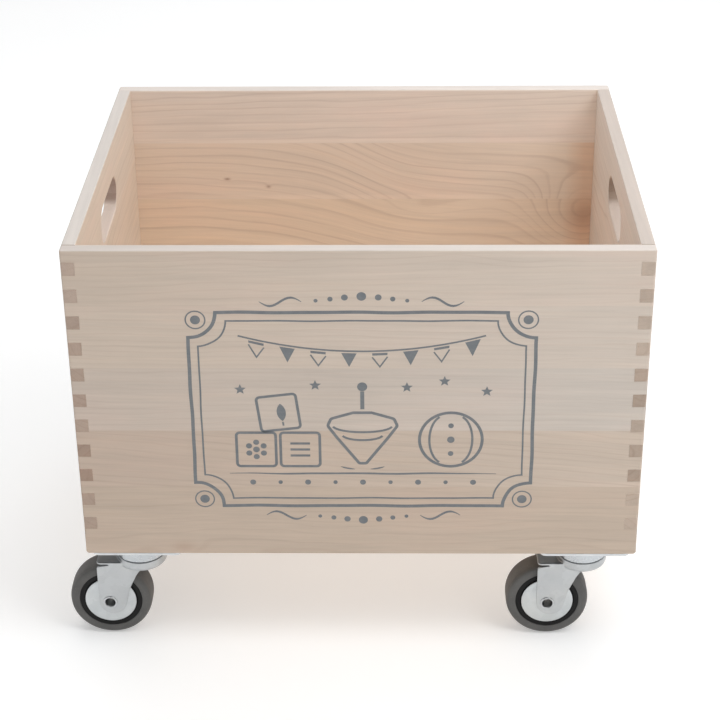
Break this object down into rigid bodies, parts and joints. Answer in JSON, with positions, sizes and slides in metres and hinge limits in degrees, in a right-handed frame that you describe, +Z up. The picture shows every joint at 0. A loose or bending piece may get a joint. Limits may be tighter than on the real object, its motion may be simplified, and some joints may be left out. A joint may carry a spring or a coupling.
{
  "type": "rolling storage crate",
  "caption": "Open wooden box with finger-jointed walls and a handle slot in each side, standing on small swivel casters.",
  "frame": {"origin": "on the ground, at the centre of the footprint of the box and its wheels", "axes": "+Z up, +X to the right and +Y to the back, seen from the front; X is the long side"},
  "size_m": [0.535, 0.38, 0.402],
  "materials": {
    "wood": "pale close-grained solid wood, bare or matt lacquered",
    "zinc_steel": "bright zinc plated sheet steel",
    "ball_steel": "polished hardened steel",
    "core_plastic": "moulded black plastic",
    "tyre_rubber": "matt grey rubber"
  },
  "bodies": {
    "box": {"front_panel": "wood", "back_panel": "wood", "left_panel": "wood", "right_panel": "wood", "floor_panel": "wood", "caster_screws": "zinc_steel", "caster_plate_front_left": "zinc_steel", "swivel_cup_front_left": "zinc_steel", "kingpin_front_left": "zinc_steel", "caster_plate_front_right": "zinc_steel", "swivel_cup_front_right": "zinc_steel", "kingpin_front_right": "zinc_steel", "caster_plate_rear_left": "zinc_steel", "swivel_cup_rear_left": "zinc_steel", "kingpin_rear_left": "zinc_steel", "caster_plate_rear_right": "zinc_steel", "swivel_cup_rear_right": "zinc_steel", "kingpin_rear_right": "zinc_steel"},
    "swivel_front_left": {"fork_front_left": "zinc_steel", "upper_balls_front_left": "ball_steel", "lower_balls_front_left": "ball_steel", "axle_rivet_front_left": "zinc_steel", "axle_sleeve_front_left": "zinc_steel", "thread_guards_front_left": "zinc_steel"},
    "wheel_front_left": {"wheel_core_front_left": "core_plastic", "tyre_front_left": "tyre_rubber"},
    "swivel_front_right": {"fork_front_right": "zinc_steel", "upper_balls_front_right": "ball_steel", "lower_balls_front_right": "ball_steel", "axle_rivet_front_right": "zinc_steel", "axle_sleeve_front_right": "zinc_steel", "thread_guards_front_right": "zinc_steel"},
    "wheel_front_right": {"wheel_core_front_right": "core_plastic", "tyre_front_right": "tyre_rubber"},
    "swivel_rear_left": {"fork_rear_left": "zinc_steel", "upper_balls_rear_left": "ball_steel", "lower_balls_rear_left": "ball_steel", "axle_rivet_rear_left": "zinc_steel", "axle_sleeve_rear_left": "zinc_steel", "thread_guards_rear_left": "zinc_steel"},
    "wheel_rear_left": {"wheel_core_rear_left": "core_plastic", "tyre_rear_left": "tyre_rubber"},
    "swivel_rear_right": {"fork_rear_right": "zinc_steel", "upper_balls_rear_right": "ball_steel", "lower_balls_rear_right": "ball_steel", "axle_rivet_rear_right": "zinc_steel", "axle_sleeve_rear_right": "zinc_steel", "thread_guards_rear_right": "zinc_steel"},
    "wheel_rear_right": {"wheel_core_rear_right": "core_plastic", "tyre_rear_right": "tyre_rubber"}
  },
  "joints": [
    {"name": "swivel_front_left_turn", "type": "hinge", "parent": "box", "child": "swivel_front_left", "pos_m": [-0.2, -0.16, 0.081], "axis": [0, 0, 1], "continuous": true},
    {"name": "wheel_front_left_roll", "type": "hinge", "parent": "swivel_front_left", "child": "wheel_front_left", "pos_m": [-0.23, -0.16, 0.0375], "axis": [0, 1, 0], "continuous": true},
    {"name": "swivel_front_right_turn", "type": "hinge", "parent": "box", "child": "swivel_front_right", "pos_m": [0.2, -0.16, 0.081], "axis": [0, 0, 1], "continuous": true},
    {"name": "wheel_front_right_roll", "type": "hinge", "parent": "swivel_front_right", "child": "wheel_front_right", "pos_m": [0.17, -0.16, 0.0375], "axis": [0, 1, 0], "continuous": true},
    {"name": "swivel_rear_left_turn", "type": "hinge", "parent": "box", "child": "swivel_rear_left", "pos_m": [-0.2, 0.16, 0.081], "axis": [0, 0, 1], "continuous": true},
    {"name": "wheel_rear_left_roll", "type": "hinge", "parent": "swivel_rear_left", "child": "wheel_rear_left", "pos_m": [-0.17, 0.16, 0.0375], "axis": [0, 1, 0], "continuous": true},
    {"name": "swivel_rear_right_turn", "type": "hinge", "parent": "box", "child": "swivel_rear_right", "pos_m": [0.2, 0.16, 0.081], "axis": [0, 0, 1], "continuous": true},
    {"name": "wheel_rear_right_roll", "type": "hinge", "parent": "swivel_rear_right", "child": "wheel_rear_right", "pos_m": [0.23, 0.16, 0.0375], "axis": [0, 1, 0], "continuous": true}
  ]
}
